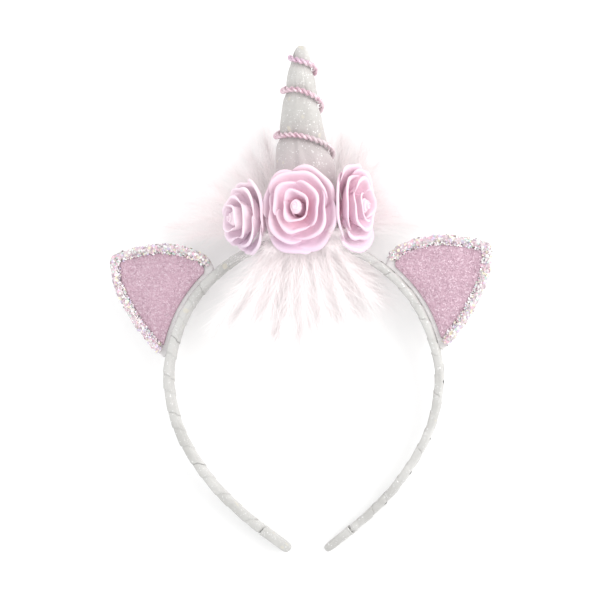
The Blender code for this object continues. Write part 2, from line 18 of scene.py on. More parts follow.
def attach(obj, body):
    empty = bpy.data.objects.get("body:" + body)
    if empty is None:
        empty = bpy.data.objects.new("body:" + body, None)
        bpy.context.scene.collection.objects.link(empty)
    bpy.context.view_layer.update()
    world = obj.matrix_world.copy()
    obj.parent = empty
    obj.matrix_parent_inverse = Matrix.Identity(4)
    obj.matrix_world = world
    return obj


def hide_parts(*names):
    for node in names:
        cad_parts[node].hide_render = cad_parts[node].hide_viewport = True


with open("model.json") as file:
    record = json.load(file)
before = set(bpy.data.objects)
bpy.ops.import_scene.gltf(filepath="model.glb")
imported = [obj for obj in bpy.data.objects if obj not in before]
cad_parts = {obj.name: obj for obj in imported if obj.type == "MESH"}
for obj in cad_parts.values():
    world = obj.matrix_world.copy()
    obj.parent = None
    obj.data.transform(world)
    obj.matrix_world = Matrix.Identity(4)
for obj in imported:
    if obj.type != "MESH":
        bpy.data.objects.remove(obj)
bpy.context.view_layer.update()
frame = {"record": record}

# The headband's own frame, from the mount on the right ear's back
EAR_MOUNT = (0.066, 0.0015, -0.022)
mount = next(m for m in frame["record"]["mounts"] if m["name"] == "ear_right_back")
RIGHT = Vector((1, 0, 0))
BACK = Vector(mount["axis"]).normalized()
UP = RIGHT.cross(BACK)
AXES = np.array([RIGHT, BACK, UP])
ORIGIN = np.array(mount["pos_m"]) - np.array(EAR_MOUNT) @ AXES

# Hoop, right half of its centreline from crown to tip
HOOP_LINE = [
    (0.0, 0.0), (0.021, -0.0037), (0.0406, -0.016), (0.0547, -0.0333), (0.0624, -0.056),
    (0.0618, -0.0745), (0.056, -0.0925), (0.0431, -0.1122), (0.0285, -0.127),
    (0.0149, -0.1378), (0.0096, -0.1418),
]
HOOP_THICKNESS = 0.0030
HOOP_SQUARENESS = 4.5  # 2 would be an ellipse
HOOP_DEPTH = 0.0120
HOOP_TIP_DEPTH = 0.0086
HOOP_STATIONS = 56
CORE_CUT = 0.0015
WRAP_PITCH = 0.0088
WRAP_STEP = 0.00034  # how far each turn of the cloth stands over the last
CLOTH_LOFT = 0.00028  # how far the soft cloth stands over the solid hoop
WRAP_PHASES = np.array([0.0, 0.03, 0.09, 0.2, 0.34, 0.48, 0.62, 0.76, 0.88, 0.97])
SLEEVE_SLACK = 0.0003  # between the sleeve's inside and the bare core

# Ear, its free edge from the hoop over the tip and back to the hoop
EAR_LINE = [
    (0.0398, -0.0128), (0.042, -0.0078), (0.0465, -0.0042), (0.055, -0.0012), (0.0652, 0.0),
    (0.0768, -0.0013), (0.0868, -0.0042), (0.0886, -0.0068), (0.0884, -0.0128),
    (0.0868, -0.0206), (0.0832, -0.028), (0.0792, -0.0354), (0.0742, -0.0424),
    (0.0684, -0.0495), (0.065, -0.0526),
]
EAR_FACE = -0.0015
PANEL_BACK = -0.0018
PANEL_FACE = -0.0027
PANEL_FROM_EDGE = 0.0040
PANEL_FROM_HOOP = 0.0026
CUSHION_SIDES = 240
TRIM_FROM_EDGE = 0.0017
TRIM_WIDTH = 0.0034
TRIM_HEIGHT = 0.0022
STRIP_WIDTH = 0.86 * TRIM_WIDTH  # the cloth strip that the sequins cover
STRIP_HEIGHT = 0.8 * TRIM_HEIGHT
STRIP_GAP = 0.0003  # between the strip and the ear
TRIM_CHIPS = 1150
TRIM_CHIP_RADII = (0.00034, 0.0008)
SEAM_CHIPS = 620  # over the seam between trim and panel
SEAM_CHIP_RADII = (0.00025, 0.00055)
SEAM_INWARD = (0.0012, 0.0028)  # from the trim's middle line
SEAM_DEPTHS = (-0.0033, -0.0029)
PANEL_CHIPS = 420
PANEL_CHIP_RADII = (0.00022, 0.00042)
PANEL_CHIP_LIFT = 0.00022  # over the panel's face

# Horn
HORN_PROFILE = np.array([  # height, radius and sideways place of the axis
    (0.0018, 0.0178, 0.0026), (0.015, 0.0162, 0.0032), (0.0276, 0.0147, 0.0038),
    (0.036, 0.0134, 0.0037), (0.043, 0.0119, 0.0026), (0.0475, 0.0108, 0.0025),
    (0.055, 0.0097, 0.0026), (0.065, 0.0081, 0.0027), (0.07, 0.007, 0.0028),
    (0.079, 0.0055, 0.0032), (0.085, 0.0038, 0.0035), (0.0878, 0.0025, 0.0037),
    (0.0892, 0.0012, 0.0038),
])
HORN_FLATNESS = 0.82
CINCH_DEPTH = 0.0010  # how far the cord draws the horn in, and how far beside it that shows
CINCH_REACH = 0.0030
PUCKER_REACH = 0.0052  # folds beside the cord
PUCKER_DEPTH = 0.00016
LUMP_DEPTH = 0.00045
FOOT_FOLD_HEIGHT = 0.036
FOOT_FOLD_DEPTH = 0.0004
HORN_COLUMNS = 176
HORN_ROWS = 330

# Cord: turns from the horn's left side over its front, and height
CORD_LINE = [
    (0.0, 0.0838), (0.25, 0.0815), (0.5, 0.078), (1.0, 0.0685), (1.25, 0.068), (1.5, 0.0618),
    (2.0, 0.048), (2.25, 0.047), (2.5, 0.0405), (3.0, 0.024), (3.25, 0.0215),
]
CORD_TURNS = CORD_LINE[-1][0]
CORD_RADIUS = 0.0014
CORD_STANDOFF = 0.001904  # from the drawn-in skin to the cord's middle
CORD_UPWARD = 0.2  # how far its way out from the horn tips up
CORD_TWIST = 0.0052  # length of one twist of its two plies
PLY_SHARE = 0.54  # a ply's radius as a share of the cord's
PLY_END = 0.0012  # length over which a ply's end is rounded

# Roses
ROSE_SEAT_DROP = 0.004  # a rose sits on the horn this far under its middle
ROSE_GAP = 0.0006  # between the horn's skin and the rose's back
Rose = namedtuple("Rose", "name around height half_width half_height depth turn lean rise")
ROSES = [  # around is the angle on the horn, 270 at its front; lean and rise tip the bud
    Rose("rose_left", 217, 0.0100, 0.0134, 0.0154, 0.0216, 20, 0.06, 0.00),
    Rose("rose_centre", 279, 0.0112, 0.0149, 0.0176, 0.0172, 50, -0.28, 0.18),
    Rose("rose_right", 335, 0.0134, 0.0139, 0.0178, 0.0168, 0, 0.00, 0.05),
]
PetalRow = namedtuple("PetalRow", "count span turn roundness reach depth")
PETAL_ROWS = [  # reach and depth run from root to rim, in shares of the rose's half width and depth
    PetalRow(4, 126, 0, 0.15, (0.20, 0.50, 0.82, 1.00, 1.08, 1.09), (0.24, 0.30, 0.42, 0.58, 0.60, 0.54)),
    PetalRow(3, 150, 38, 0.15, (0.17, 0.42, 0.66, 0.80, 0.86, 0.88), (0.32, 0.40, 0.54, 0.74, 0.76, 0.71)),
    PetalRow(3, 146, 80, 0.14, (0.14, 0.32, 0.48, 0.56, 0.62, 0.65), (0.38, 0.48, 0.68, 0.88, 0.92, 0.88)),
    PetalRow(2, 205, 10, 0.14, (0.11, 0.22, 0.31, 0.34, 0.38, 0.41), (0.42, 0.56, 0.80, 1.00, 1.05, 1.02)),
]
PETAL_THICKNESS = 0.0004
PETAL_ROOT_SPAN = 0.62  # share of a petal's span that its root has
PETAL_RIM = 0.85  # rim mark at a petal's rim, which the satin paints a little darker as painted shade; the bud's is 1, painted lighter as a highlight
BUD_THICKNESS = 0.0005
FILLING_THICKNESS = 0.0003
FILLING_RADIUS = 0.0026
FILLING_DOME = 0.0019
BUD_TURNS = 1.6
BUD_START = 0.0008  # radius at the strip's inner edge, and how much it grows to the outer one
BUD_GROWTH = 0.0027
BUD_OVAL = 1.3  # height of the bud over its width

# Down
RING_TUBE = 0.0018
RING_HEIGHT = 0.0036
RING_DIP = 0.0022
RING_GAP = 0.0003  # between the horn's foot and the ring
DOWN_LOCKS = [  # direction as seen from the front, 0 to the right and 90 up the horn, reach
    (3, 0.064), (14, 0.054), (27, 0.052), (42, 0.060), (55, 0.056), (68, 0.053), (82, 0.046),
    (98, 0.047), (112, 0.054), (124, 0.051), (137, 0.049), (150, 0.057), (164, 0.064),
    (176, 0.073), (228, 0.056), (240, 0.049), (252, 0.056), (265, 0.055), (277, 0.044),
    (289, 0.047), (302, 0.049), (318, 0.051),
]
DOWN_LAYERS = [(1, 10, 1.00, 0), (1, 1, 0.80, 6), (-1, 8, 1.00, 0)]  # side, lean, share of reach, turn
LOCK_FRONT_FAN = 50
LOCK_BULGE = 0.12  # share of its reach that a plume bends away from straight
ROOT_FROM_SIDE = 16  # degrees round the ring that roots keep from its two sides
BEHIND_HORN = 38  # plumes nearer than this to straight up the horn lean off it
BEHIND_HORN_LEAN = 7
SHORT_PLUME = 0.012
SHORT_FRONT = (242, 249, 301, 308)  # angles on the ring, between the roses
SHORT_BACK = (0, 22, 50, 75, 105, 130, 158, 180)
STRANDS_PER_LOCK = 420
STRAND_STEPS = 5
STRAND_LENGTHS = (0.009, 0.023)
STRAND_WIDTHS = (0.00006, 0.00011)
STRAND_WAVES = (0.0003, 0.0013)
STRAND_FLARES = (8, 72)  # degrees from the quill
FLOOR_GAP = 0.0002

rng = np.random.default_rng(7)
dice = random.Random(7)


def lay(points):
    """Points of the headband's own frame, as the headband lies."""
    return ORIGIN + np.asarray(points, float) @ AXES


def interpolate(at, run, rows):
    """The rows of a table, which stand at run, read at other places."""
    return np.stack([np.interp(at, run, column) for column in rows.T], -1)


def run_along(points):
    """Distance of each point from the first, along the line through them."""
    return np.concatenate([[0], np.cumsum(np.linalg.norm(np.diff(points, axis=0), axis=1))])


def smooth_line(points, count):
    """count points evenly spaced on a smooth curve through points."""
    p = np.array(points, float)
    p = np.vstack([2 * p[0] - p[1], p, 2 * p[-1] - p[-2]])
    t = np.linspace(0, 1, 24, endpoint=False)[:, None]
    runs = []
    for a, b, c, d in zip(p, p[1:], p[2:], p[3:]):
        bend = (2 * a - 5 * b + 4 * c - d) * t**2 + (3 * b - a - 3 * c + d) * t**3
        runs.append(0.5 * (2 * b + (c - a) * t + bend))
    fine = np.vstack([*runs, p[-2]])
    run = run_along(fine)
    return interpolate(np.linspace(0, run[-1], count), run, fine)


def unit(v):
    """Vectors of length 1 that point the same way."""
    return v / np.maximum(np.linalg.norm(v, axis=-1, keepdims=True), 1e-12)


def along_line(line, s):
    """Place and direction at share s, from 0 to 1, of an evenly spaced line."""
    steps = np.linspace(0, 1, len(line))
    heading = interpolate(s, steps, np.gradient(line, axis=0))
    return interpolate(s, steps, line), unit(heading)


def ripple(points, size, seed=0.0):
    """Smooth noise from -1 to 1 at each point, its lumps about size across."""
    return np.array([noise.noise(Vector(p) / size + Vector((seed, 0, 0))) for p in points])


# Building pieces


def deselect():
    if bpy.context.object and bpy.context.object.mode != "OBJECT":
        bpy.ops.object.mode_set(mode="OBJECT")
    bpy.ops.object.select_all(action="DESELECT")


def read_points(mesh):
    co = np.zeros(len(mesh.vertices) * 3)
    mesh.vertices.foreach_get("co", co)
    return co.reshape(-1, 3)


def set_points(mesh, points):
    mesh.vertices.foreach_set("co", np.asarray(points, float).ravel())
    mesh.update()


def bent_grid(name, columns, rows, bend, merge=True):
    """A grid whose point (u, v), each from 0 to 1, goes to bend(u, v) in the headband's frame."""
    deselect()
    bpy.ops.mesh.primitive_grid_add(
        x_subdivisions=columns, y_subdivisions=rows, size=1, calc_uvs=True
    )
    obj = bpy.context.object
    obj.name = obj.data.name = name
    flat = read_points(obj.data) + 0.5
    set_points(obj.data, lay(bend(flat[:, 0], flat[:, 1])))
    if merge:
        bpy.ops.object.mode_set(mode="EDIT")
        bpy.ops.mesh.select_all(action="SELECT")
        bpy.ops.mesh.remove_doubles(threshold=2e-6)
        bpy.ops.mesh.normals_make_consistent(inside=False)
        bpy.ops.object.mode_set(mode="OBJECT")
    bpy.ops.object.shade_smooth()
    return obj


def apply_modifier(obj, kind, **settings):
    deselect()
    bpy.context.view_layer.objects.active = obj
    obj.select_set(True)
    made = obj.modifiers.new(kind.lower(), kind)
    for key, value in settings.items():
        setattr(made, key, value)
    bpy.ops.object.modifier_apply(modifier=made.name)


def join(name, objects):
    deselect()
    for obj in objects:
        obj.select_set(True)
    bpy.context.view_layer.objects.active = objects[0]
    bpy.ops.object.join()
    objects[0].name = objects[0].data.name = name
    return objects[0]


def dress(obj, material, slot, *nodes):
    """Gives a finished piece its material, lets it ride, and hides the nodes it stands for."""
    obj.data.materials.clear()
    obj.data.materials.append(material)
    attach(obj, "root")
    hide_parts(*nodes)


def strand_comb(name, count, bend):
    """count separate ribbons. bend(strand, side, t) gives the points of one side of each."""
    deselect()
    bpy.ops.mesh.primitive_grid_add(
        x_subdivisions=2 * count - 1, y_subdivisions=STRAND_STEPS, size=1, calc_uvs=True
    )
    obj = bpy.context.object
    obj.name = obj.data.name = name
    mesh = obj.data
    flat = read_points(mesh) + 0.5
    column = np.rint(flat[:, 0] * (2 * count - 1)).astype(int)
    corners = np.zeros(len(mesh.polygons) * 4, np.int32)
    mesh.polygons.foreach_get("vertices", corners)
    between = column[corners.reshape(-1, 4)].min(axis=1) % 2 == 1
    bpy.ops.object.mode_set(mode="EDIT")
    bpy.ops.mesh.select_mode(type="FACE")
    bpy.ops.mesh.select_all(action="DESELECT")
    bpy.ops.object.mode_set(mode="OBJECT")
    mesh.polygons.foreach_set("select", between)
    bpy.ops.object.mode_set(mode="EDIT")
    bpy.ops.mesh.delete(type="FACE")
    bpy.ops.object.mode_set(mode="OBJECT")
    flat = read_points(mesh) + 0.5
    column = np.rint(flat[:, 0] * (2 * count - 1)).astype(int)
    set_points(mesh, lay(bend(column // 2, column % 2, flat[:, 1])))
    bpy.ops.object.shade_smooth()
    return obj


# Materials

WHITE_FLAKES = 2300  # flakes to the metre
PINK_FLAKES = 2100


class Wire:
    """A node's output. Sums with numbers and other wires add Math nodes."""

    def __init__(self, finish, socket):
        self.finish = finish
        self.socket = socket

    def math(self, operation, *values):
        return self.finish.node("ShaderNodeMath", {"operation": operation}, dict(enumerate(values)))

    def __add__(self, other):
        return self.math("ADD", self, other)

    def __sub__(self, other):
        return self.math("SUBTRACT", self, other)

    def __rsub__(self, other):
        return self.math("SUBTRACT", other, self)

    def __mul__(self, other):
        return self.math("MULTIPLY", self, other)

    def __gt__(self, other):
        return self.math("GREATER_THAN", self, other)

    __radd__ = __add__
    __rmul__ = __mul__


class Finish:
    """A material that is put together node by node."""

    def __init__(self, name, **constants):
        self.material = bpy.data.materials.new(name)
        self.material.use_nodes = True
        self.tree = self.material.node_tree
        self.shader = self.tree.nodes["Principled BSDF"]
        for key, value in constants.items():
            self.shader.inputs[key.replace("_", " ")].default_value = value

    def link(self, socket, value):
        if isinstance(value, Wire):
            self.tree.links.new(value.socket, socket)
        elif isinstance(value, tuple) and len(value) == 3 and socket.type == "RGBA":
            socket.default_value = (*value, 1.0)
        else:
            socket.default_value = value

    def node(self, kind, settings=None, values=None, output=0):
        made = self.tree.nodes.new(kind)
        for key, value in (settings or {}).items():
            if key == "stops":
                ramp = made.color_ramp
                while len(ramp.elements) < len(value):
                    ramp.elements.new(0.5)
                for element, (place, colour) in zip(ramp.elements, value):
                    element.position = place
                    element.color = (*colour, 1.0)
            elif key == "interpolation":
                made.color_ramp.interpolation = value
            else:
                setattr(made, key, value)
        for key, value in (values or {}).items():
            self.link(made.inputs[key], value)
        return Wire(self, made.outputs[output])

    def place(self):
        return self.node("ShaderNodeTexCoord", output="Object")

    def uv(self):
        return self.node("ShaderNodeTexCoord", output="UV")

    def noise(self, scale, detail=2.0, where=None):
        values = {"Vector": where or self.place(), "Scale": scale, "Detail": detail}
        return self.node("ShaderNodeTexNoise", None, values)

    def cells(self, scale, output="Color"):
        values = {"Vector": self.place(), "Scale": scale}
        return self.node("ShaderNodeTexVoronoi", None, values, output)

    def flake_shade(self, scale):
        """A number from 0 to 1 that is the same all over each flake."""
        return self.node("ShaderNodeSeparateColor", None, {0: self.cells(scale)}, "Red")

    def mark(self, name):
        """A number that the piece's points carry."""
        return self.node("ShaderNodeAttribute", {"attribute_name": name}, output="Fac")

    def rightward(self):
        """Distance to the headband's right in metres."""
        return self.node("ShaderNodeSeparateXYZ", None, {0: self.place()}, "X")

    def mix(self, share, low, high):
        return self.node("ShaderNodeMix", {"data_type": "RGBA"}, {0: share, 6: low, 7: high}, output=2)

    def ramp(self, value, stops, interpolation="LINEAR"):
        settings = {"stops": stops, "interpolation": interpolation}
        return self.node("ShaderNodeValToRGB", settings, {0: value})

    def range(self, value, low, high, to_low=0.0, to_high=1.0):
        settings = {"interpolation_type": "SMOOTHSTEP"}
        values = {"Value": value, "From Min": low, "From Max": high, "To Min": to_low, "To Max": to_high}
        return self.node("ShaderNodeMapRange", settings, values)

    def vector(self, operation, a, b):
        return self.node("ShaderNodeVectorMath", {"operation": operation}, {0: a, 1: b})

    def height(self):
        """Height along the horn in metres, from the crown."""
        from_crown = self.vector("SUBTRACT", self.place(), tuple(ORIGIN))
        values = {0: from_crown, 1: tuple(UP)}
        return self.node("ShaderNodeVectorMath", {"operation": "DOT_PRODUCT"}, values, output="Value")

    def bump(self, height, strength, distance):
        values = {"Strength": strength, "Distance": distance, "Height": height}
        return self.node("ShaderNodeBump", None, values)

    def sparkle(self, scale, tilt, normal=None):
        """Each small flake faces a little another way."""
        normal = normal or self.node("ShaderNodeNewGeometry", output="Normal")
        flake = self.vector("SUBTRACT", self.cells(scale), (0.5, 0.5, 0.5))
        lean = self.vector("MULTIPLY", flake, (tilt, tilt, tilt))
        tipped = self.vector("ADD", normal, lean)
        return self.node("ShaderNodeVectorMath", {"operation": "NORMALIZE"}, {0: tipped})

    def wear(self, **links):
        for key, value in links.items():
            self.link(self.shader.inputs[key.replace("_", " ")], value)
        return self.material


def white_cloth(name, light, dark, foot_tint=None):
    """White cloth with a fine glitter, a soft nap and a few faint yellowish spots."""
    f = Finish(name, Sheen_Weight=0.15, Specular_IOR_Level=0.4)
    colour = f.mix(f.range(f.noise(60, 3), 0.35, 0.65), light, dark)
    if foot_tint:
        # darker and pinker towards the horn's foot
        near_foot = f.range(f.height(), 0.058, 0.030)
        colour = f.mix(near_foot * 0.75, colour, foot_tint)
    stain = f.range(f.noise(170, 1), 0.68, 0.74)
    colour = f.mix(stain * 0.35, colour, (0.72, 0.66, 0.50))
    flakes = f.cells(WHITE_FLAKES, "Distance")
    glint = f.flake_shade(WHITE_FLAKES)
    colour = f.mix((glint > 0.965) * 0.45, colour, (0.95, 0.96, 0.97))
    threads = f.noise(1500, 2)
    bumped = f.bump(threads + flakes * 0.6, 0.45, 0.0002)
    return f.wear(
        Base_Color=colour,
        Metallic=(glint > 0.955) * 0.4,
        Roughness=0.62 - (glint > 0.955) * 0.3,
        Normal=f.sparkle(WHITE_FLAKES, 0.30, bumped),
    )


def pink_glitter():
    """Glitter cloth whose flakes run from dark pink to near white over a cloudy pink ground."""
    f = Finish("pink_glitter", Specular_IOR_Level=0.5)
    ground = f.mix(f.range(f.noise(45, 3), 0.3, 0.7), (0.50, 0.335, 0.405), (0.57, 0.375, 0.455))
    flake = f.flake_shade(PINK_FLAKES)
    colour = f.ramp(flake, [
        (0.0, (0.42, 0.27, 0.34)),
        (0.35, (0.52, 0.34, 0.42)),
        (0.75, (0.62, 0.44, 0.52)),
        (0.97, (0.78, 0.68, 0.74)),
    ])
    bumped = f.bump(f.cells(PINK_FLAKES, "Distance"), 0.5, 0.0002)
    return f.wear(
        Base_Color=f.mix(0.5, ground, colour),
        Metallic=f.range(flake, 0.5, 0.95, 0.1, 0.35),
        Roughness=f.range(flake, 0.2, 0.9, 0.6, 0.35),
        Normal=f.sparkle(PINK_FLAKES, 0.5, bumped),
    )


def sequins():
    """Clear and iridescent chips, each with one of eight tints."""
    f = Finish("sequins", Roughness=0.2, Metallic=0.3, Coat_Weight=0.6, Coat_Roughness=0.08)
    colour = f.ramp(f.mark("tint"), [
        (0.0, (0.74, 0.62, 0.66)),
        (0.20, (0.83, 0.82, 0.80)),
        (0.36, (0.82, 0.54, 0.64)),
        (0.52, (0.85, 0.81, 0.60)),
        (0.62, (0.61, 0.77, 0.70)),
        (0.70, (0.69, 0.59, 0.79)),
        (0.79, (0.94, 0.94, 0.94)),
        (0.90, (0.50, 0.41, 0.45)),
    ], "CONSTANT")
    return f.wear(Base_Color=colour, Normal=f.sparkle(1100, 0.25))


def cord_threads():
    """Pink metallic thread, lavender at the top and paler on the right of the third turn."""
    f = Finish("cord_threads", Roughness=0.34, Metallic=0.35, Sheen_Weight=0.2)
    along_ply = f.node("ShaderNodeMapping", None, {"Vector": f.uv(), "Scale": (6.0, 420.0, 1.0)})
    fibre = f.noise(1.0, 2, along_ply)
    blotch = f.noise(260, 1)
    colour = f.ramp(fibre * 0.55 + blotch * 0.45, [
        (0.28, (0.44, 0.26, 0.34)),
        (0.38, (0.64, 0.42, 0.50)),
        (0.50, (0.76, 0.56, 0.63)),
        (0.64, (0.88, 0.76, 0.80)),
    ])
    lavender = f.range(f.height(), 0.079, 0.083)
    colour = f.mix(lavender * 0.35, colour, (0.58, 0.38, 0.60))
    # paler on the right of the third turn
    pale_on_right = f.range(f.rightward(), 0.003, 0.012) * f.range(f.height(), 0.0495, 0.0480)
    colour = f.mix(pale_on_right * 0.75, colour, (0.74, 0.66, 0.68))
    return f.wear(Base_Color=colour, Normal=f.bump(fibre, 0.8, 0.0003))


def rose_satin():
    """Pale pink satin with its light and shade painted in: deepest pink at the petals' roots as painted
    crease shade, a little darker at their rims as painted shade and lightest at the bud as a painted
    highlight, paler to the left as painted light on the side away from the key, and lavender low down as
    painted shade.
    """
    f = Finish("rose_satin", Roughness=0.55, Sheen_Weight=0.12, Sheen_Roughness=0.5)
    f.shader.inputs["Sheen Tint"].default_value = (1.0, 0.86, 0.94, 1.0)
    # painted shade and highlight from the rim mark: deep pink roots for crease shade, darker petal rims, a
    # lighter bud
    colour = f.ramp(f.mark("rim"), [
        (0.0, (0.94, 0.58, 0.68)),
        (0.35, (0.94, 0.68, 0.78)),
        (0.6, (0.90, 0.69, 0.785)),
        (0.85, (0.85, 0.655, 0.745)),
        (1.0, (0.90, 0.76, 0.825)),
    ])
    # painted light: paler to the left, to offset the shade on the side away from the key light
    left = f.range(f.rightward(), -0.009, -0.016)
    colour = f.mix(left * 0.6, colour, (0.985, 0.87, 0.93))
    cloudy = f.range(f.noise(70, 2), 0.42, 0.62)
    colour = f.mix(cloudy * 0.2, colour, (0.80, 0.66, 0.82))
    # painted shade: lavender over the roses' low parts
    low = f.range(f.height(), 0.006, -0.006)
    colour = f.mix(low * 0.4, colour, (0.76, 0.62, 0.80))
    threads = f.noise(2600, 2)
    creases = f.noise(220, 3)
    return f.wear(Base_Color=colour, Normal=f.bump(threads + creases * 3.0, 0.25, 0.00015))


def down():
    """Blush-white down. The faint glow stands for the light that its barbs let through."""
    f = Finish("down", Roughness=0.85, Sheen_Weight=0.3, Specular_IOR_Level=0.2, Emission_Strength=0.045)
    along_strand = f.node("ShaderNodeSeparateXYZ", None, {0: f.uv()}, "Y")
    colour = f.ramp(along_strand, [
        (0.0, (0.96, 0.875, 0.88)),
        (0.5, (0.97, 0.92, 0.925)),
        (1.0, (0.98, 0.955, 0.955)),
    ])
    tuft = f.range(f.noise(55, 2), 0.4, 0.65)
    return f.wear(Base_Color=f.mix(tuft * 0.3, colour, (0.98, 0.92, 0.93)))


CLOTH = white_cloth("band_cloth", (0.59, 0.585, 0.57), (0.485, 0.48, 0.465))
# painted light: the ears' white cloth is much lighter than the band's to lift the shade between the panel
# and the hoop
EAR_CLOTH = white_cloth("ear_cloth", (0.84, 0.82, 0.82), (0.76, 0.74, 0.74))
HORN_CLOTH = white_cloth("horn_cloth", (0.57, 0.56, 0.54), (0.46, 0.445, 0.43), (0.51, 0.44, 0.455))
GLITTER = pink_glitter()
SEQUINS = sequins()
CORD_THREADS = cord_threads()
SATIN = rose_satin()
DOWN = down()

# Hoop, wound with cloth

right_half = HOOP_LINE[1:]
HOOP = smooth_line([(-x, z) for x, z in reversed(right_half)] + HOOP_LINE, 600)
HOOP_RUN = float(run_along(HOOP)[-1])
HOOP_STEP = HOOP_RUN / HOOP_STATIONS
MOUTH = 2 * HOOP_STEP


def hoop_frame(from_left):
    """Place and outward way at a distance along the hoop from its left end."""
    inside = np.clip(from_left, 0, HOOP_RUN)
    place, heading = along_line(HOOP, inside / HOOP_RUN)
    place = place + heading * (from_left - inside)[:, None]
    outward = np.stack([-heading[:, 1], heading[:, 0]], 1)
    return place, outward


def section(place, outward, half_thick, half_deep, around):
    """Points round the hoop's rounded section; around runs from 0 to 1."""
    angle = 2 * np.pi * around
    c, s = np.cos(angle), np.sin(angle)
    across = half_thick * np.sign(c) * np.abs(c) ** (2 / HOOP_SQUARENESS)
    deep = half_deep * np.sign(s) * np.abs(s) ** (2 / HOOP_SQUARENESS)
    flat = place + across[:, None] * outward
    return np.stack([flat[:, 0], deep, flat[:, 1]], 1)


def hoop_half_depth(place):
    """Half the hoop's width from front to back, which shrinks towards its ends."""
    share = np.clip(-place[:, 1] / -HOOP_LINE[-1][1], 0, 1)
    return (HOOP_DEPTH + (HOOP_TIP_DEPTH - HOOP_DEPTH) * share**1.5) / 2


WRAP_TURNS = round((HOOP_RUN - 2 * HOOP_STEP) / WRAP_PITCH)


def wound_cloth(u, v):
    """The cloth's turns along v, each with its edge over the last. u runs round the hoop."""
    row = np.rint(v * len(WRAP_PHASES) * (WRAP_TURNS + 1)).astype(int)
    turn = row // len(WRAP_PHASES)
    phase = WRAP_PHASES[row % len(WRAP_PHASES)]
    wound = turn + phase + u - 1
    sway = 0.10 * np.sin(turn * 2.7) * (phase < 0.5)
    sway = sway * np.clip(np.minimum(wound, WRAP_TURNS - wound), 0, 1)
    inside = np.clip(wound + sway, 0, WRAP_TURNS)
    from_left = HOOP_STEP + inside / WRAP_TURNS * (HOOP_RUN - 2 * HOOP_STEP)
    place, outward = hoop_frame(from_left)
    lift = np.where(phase > 0, WRAP_STEP * (1 - phase), 0.0)
    to_end = np.minimum(from_left, HOOP_RUN - from_left)
    bare = to_end < MOUTH + 0.0002
    wrapped = HOOP_THICKNESS / 2 + CLOTH_LOFT + lift
    half_thick = np.where(bare, (HOOP_THICKNESS - CORE_CUT) / 2, wrapped)
    half_deep = hoop_half_depth(place) + np.where(bare, -CORE_CUT / 2, lift - 0.0001)
    closed = (wound <= 0) | (wound >= WRAP_TURNS)
    half_thick = np.where(closed, 0, half_thick)
    half_deep = np.where(closed, 0, half_deep)
    return section(place, outward, half_thick, half_deep, u)


band = bent_grid("wound_band", 44, len(WRAP_PHASES) * (WRAP_TURNS + 1), wound_cloth)
dress(band, CLOTH, "wrap_cloth", "headband")

SLEEVE_ROWS = [  # distance from the hoop's end, growth of the section, share of the section
    (0.0064, -0.00045, 0.0), (0.0064, -0.00045, 1.0), (0.0132, -0.00045, 1.0),
    (0.0136, -0.0001, 1.0), (0.0137, 0.0003, 1.0), (0.0134, 0.0005, 1.0), (0.0130, 0.00042, 1.0),
    (0.0126, 0.00022, 1.0), (0.0122, 0.00034, 1.0), (0.0114, 0.00030, 1.0), (0.0100, 0.00022, 1.0),
    (0.0084, 0.0003, 1.0), (0.0068, 0.00024, 1.0), (0.0052, 0.0003, 1.0), (0.0036, 0.0002, 1.0),
    (0.0022, 0.00026, 1.0), (0.0010, 0.0002, 1.0), (0.0002, 0.0001, 0.99), (-0.0005, 0.0, 0.93),
    (-0.0010, 0.0, 0.8), (-0.0014, 0.0, 0.6), (-0.0016, 0.0, 0.3), (-0.00165, 0.0, 0.0),
]


def sleeve(side):
    """Shape of the sleeve over one end: in along its lining, round its rim and over its outside."""

    def bend(u, v):
        steps = np.arange(len(SLEEVE_ROWS))
        end, grow, share = interpolate(v * steps[-1], steps, np.array(SLEEVE_ROWS)).T
        from_left = end if side < 0 else HOOP_RUN - end
        place, outward = hoop_frame(from_left)
        inner = grow < -0.0002
        lining = (HOOP_THICKNESS - CORE_CUT) / 2 + SLEEVE_SLACK
        outside = HOOP_THICKNESS / 2 + CLOTH_LOFT + grow
        half_thick = np.where(inner, lining, outside)
        half_deep = hoop_half_depth(place) + np.where(inner, SLEEVE_SLACK - CORE_CUT / 2, grow)
        return section(place, outward, half_thick * share, half_deep * share, u)

    return bend


for side, suffix in ((-1, "left"), (1, "right")):
    tip = bent_grid("tip_sleeve_" + suffix, 44, 2 * (len(SLEEVE_ROWS) - 1), sleeve(side))
    dress(tip, CLOTH, "wrap_cloth", "band_tip_" + suffix)

# Ears

EDGE = smooth_line(EAR_LINE, 90)
EDGE_WAY = unit(np.gradient(EDGE, axis=0))
INWARD = np.stack([EDGE_WAY[:, 1], -EDGE_WAY[:, 0]], 1)


def hoop_side(offset):
    """The right arm's outer face, moved outward, between the two ends of the ear."""
    place, outward = hoop_frame(np.linspace(0.5, 1, 300) * HOOP_RUN)
    line = place + (HOOP_THICKNESS / 2 + offset) * outward
    near = (line[:, 1] < EAR_LINE[0][1] - 0.001) & (line[:, 1] > EAR_LINE[-1][1] + 0.001)
    return line[near][::-1]


def hoop_distance(points):
    """How far points in the ear's plane are from the right arm's outer face."""
    place, outward = hoop_frame(np.linspace(0.5, 1, 300) * HOOP_RUN)
    gaps = np.linalg.norm(points[:, None] - place[None], axis=2)
    near = gaps.argmin(1)
    return ((points - place[near]) * outward[near]).sum(1) - HOOP_THICKNESS / 2


def edge_distance(points):
    """How far points in the ear's plane are from its free edge."""
    return np.linalg.norm(points[:, None] - EDGE[None], axis=2).min(1)


def around_outline(points, count):
    """count points evenly spaced round a closed outline."""
    closed = np.vstack([points, points[:1]])
    run = run_along(closed)
    return interpolate(np.linspace(0, run[-1], count + 1), run, closed)


def ear_points(side, flat, depth):
    """Points of the headband's frame from places on the right ear, mirrored for the left."""
    return np.stack([side * flat[:, 0], depth, flat[:, 1]], 1)


